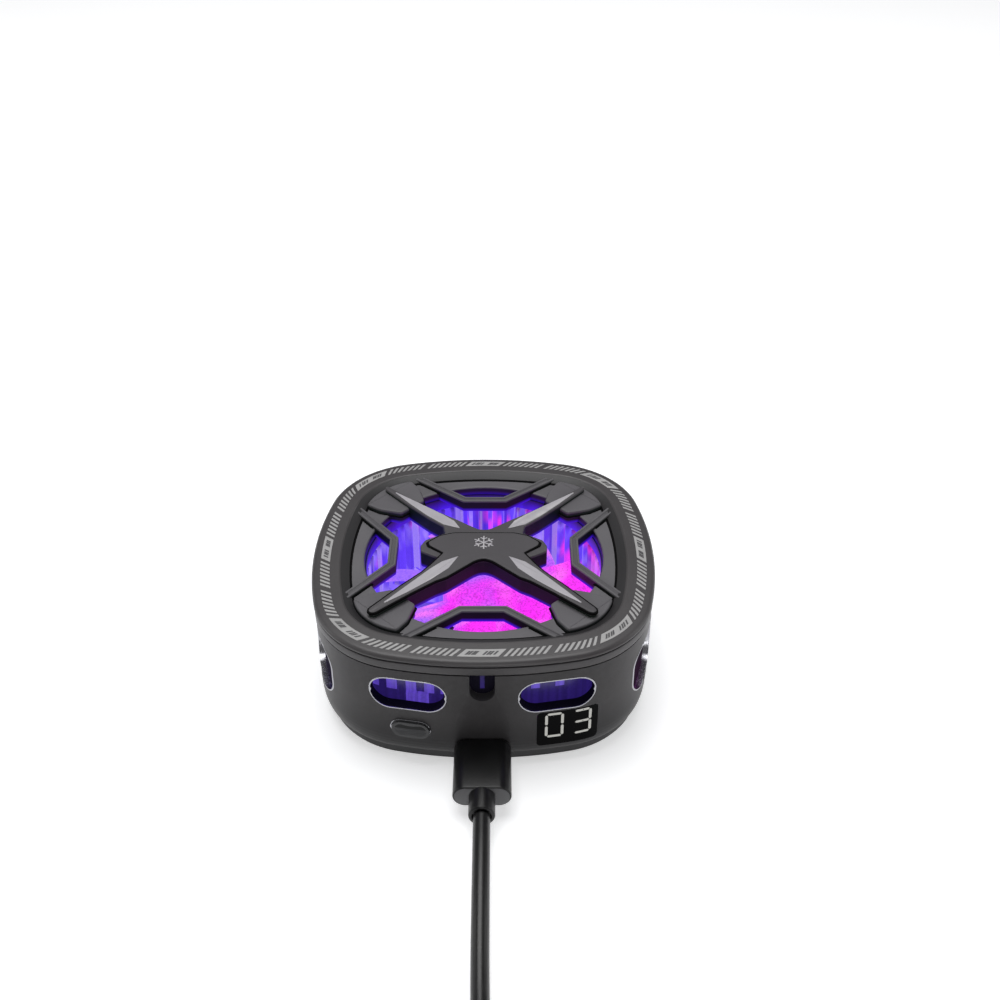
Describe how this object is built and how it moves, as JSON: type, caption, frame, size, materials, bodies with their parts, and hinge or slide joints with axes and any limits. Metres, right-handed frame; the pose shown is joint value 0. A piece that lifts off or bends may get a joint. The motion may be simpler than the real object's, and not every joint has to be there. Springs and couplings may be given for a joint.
{
  "type": "phone cooling fan",
  "caption": "Rounded square clip-free cooler with a lit fan under a cross-shaped cover, side vents, a small display and a plug-in lead.",
  "frame": {"origin": "centre of the cold face, the plane that touches the phone", "axes": "+Z out of the phone through the fan, -Y towards the port and its lead, +X to the right seen from the port's side"},
  "size_m": [0.0741, 0.219, 0.0268],
  "materials": {
    "soft_silicone": "matt soft silicone",
    "base_plastic": "fine satin grain",
    "screw_steel": "turned, slightly oily",
    "magnet_nickel": "nickel plate",
    "shunt_steel": "rolled sheet",
    "cold_plate_aluminium": "turned and anodised",
    "white_ceramic": "sintered, matt",
    "pellet_alloy": "cut alloy",
    "foam": "closed cell foam",
    "lead_insulation": "smooth insulation",
    "sink_aluminium": "cast, light blast",
    "bracket_plastic": "moulded",
    "bearing_bronze": "sintered bronze",
    "stator_steel": "stacked sheets",
    "winding_copper": "enamelled copper wire",
    "rotor_ferrite": "bonded ferrite",
    "shaft_steel": "ground",
    "rotor_plastic": "milky translucent moulding",
    "housing_plastic": "fine satin grain",
    "trim_chrome": "bright plate",
    "bezel_plastic": "fine satin grain with light printed stripes",
    "grille_plastic": "fine satin grain",
    "cross_plastic": "fine satin grain",
    "inlay_silver": "satin silver",
    "guide_acrylic": "frosted",
    "led_board_white": "white solder mask",
    "led_lens": "clear resin over chips",
    "board_mask": "green-black solder mask",
    "chip_epoxy": "moulded epoxy",
    "display_body": "black body with lit digits",
    "smoked_window": "smoked, polished",
    "button_plastic": "fine satin grain",
    "switch_metal": "stamped cover",
    "port_steel": "drawn shell",
    "contact_carrier": "moulded",
    "plug_steel": "drawn shell",
    "overmold": "satin soft moulding",
    "cable_jacket": "satin jacket",
    "tie_silicone": "matt silicone",
    "contact_gold": "gold plate"
  },
  "bodies": {
    "cooler": {"silicone_pad": "soft_silicone", "base_frame": "base_plastic", "base_screws": "screw_steel", "heat_sink_screws": "screw_steel", "fan_bracket_screws": "screw_steel", "magnets": "magnet_nickel", "magnet_shunt": "shunt_steel", "cold_plate": "cold_plate_aluminium", "peltier_cold_ceramic": "white_ceramic", "peltier_hot_ceramic": "white_ceramic", "peltier_pellets": "pellet_alloy", "foam_gasket": "foam", "peltier_leads": "lead_insulation", "fan_lead": "lead_insulation", "heat_sink": "sink_aluminium", "fan_bracket": "bracket_plastic", "fan_bearing": "bearing_bronze", "stator_core": "stator_steel", "stator_windings": "winding_copper", "housing": "housing_plastic", "vent_trims": "trim_chrome", "lower_bezel": "bezel_plastic", "top_bezel": "bezel_plastic", "grille_panel": "grille_plastic", "corner_plates": "grille_plastic", "rear_cross_arms": "cross_plastic", "front_cross_cover": "cross_plastic", "cross_inlays": "inlay_silver", "light_guide": "guide_acrylic", "led_board": "led_board_white", "leds": "led_lens", "control_board": "board_mask", "control_chips": "chip_epoxy", "display_module": "display_body", "display_window": "smoked_window", "tact_switch": "switch_metal", "usb_c_receptacle": "port_steel", "usb_c_tongue": "contact_carrier"},
    "rotor": {"fan_rotor": "rotor_plastic", "fan_shaft": "shaft_steel", "rotor_magnet": "rotor_ferrite"},
    "button": {"mode_button": "button_plastic"},
    "lead": {"usb_c_plug_shell": "plug_steel", "usb_c_overmold": "overmold", "cable_neck": "overmold", "cable": "cable_jacket", "cable_coil": "cable_jacket", "coil_ties": "tie_silicone", "cable_tail": "cable_jacket", "usb_a_neck": "overmold", "usb_a_overmold": "overmold", "usb_a_shell": "plug_steel", "usb_a_tongue": "contact_carrier", "usb_a_contacts": "contact_gold"}
  },
  "joints": [
    {"name": "fan_spin", "type": "hinge", "parent": "cooler", "child": "rotor", "pos_m": [0, 0, 0.012], "axis": [0, 0, 1], "continuous": true},
    {"name": "button_press", "type": "slide", "parent": "cooler", "child": "button", "axis": [0, 1, 0], "range_m": [0, 0.0005], "stiffness_N_per_m": 400},
    {"name": "plug_slide", "type": "slide", "parent": "cooler", "child": "lead", "axis": [0, -1, 0], "range_m": [0, 0.0075]}
  ]
}
